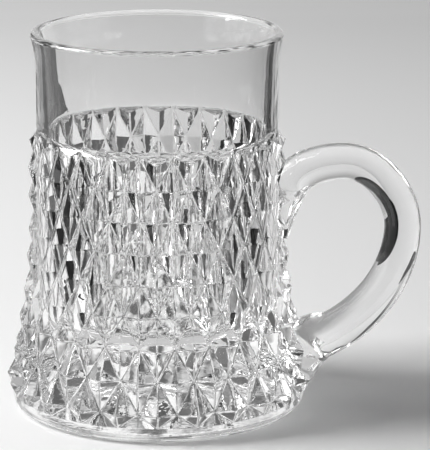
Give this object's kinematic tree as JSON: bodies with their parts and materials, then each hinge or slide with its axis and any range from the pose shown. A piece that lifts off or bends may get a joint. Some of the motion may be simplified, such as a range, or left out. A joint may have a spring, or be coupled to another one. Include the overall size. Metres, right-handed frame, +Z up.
{
  "type": "diamond point glass mug",
  "caption": "Clear pressed glass mug with a flared wall of diamond points, a plain drinking band with a rounded lip, a heavy flat base and an applied rod handle.",
  "frame": {"origin": "centre of the flat underside, on the mug's axis", "axes": "+Z up along the mug's axis, +X out through the middle of the handle"},
  "size_m": [0.1427, 0.1048, 0.1308],
  "materials": {
    "pressed_glass": "clear, pressed, fire polished",
    "drawn_glass": "clear, drawn, fire polished"
  },
  "bodies": {
    "root": {"body": "pressed_glass", "handle": "drawn_glass"}
  },
  "joints": []
}
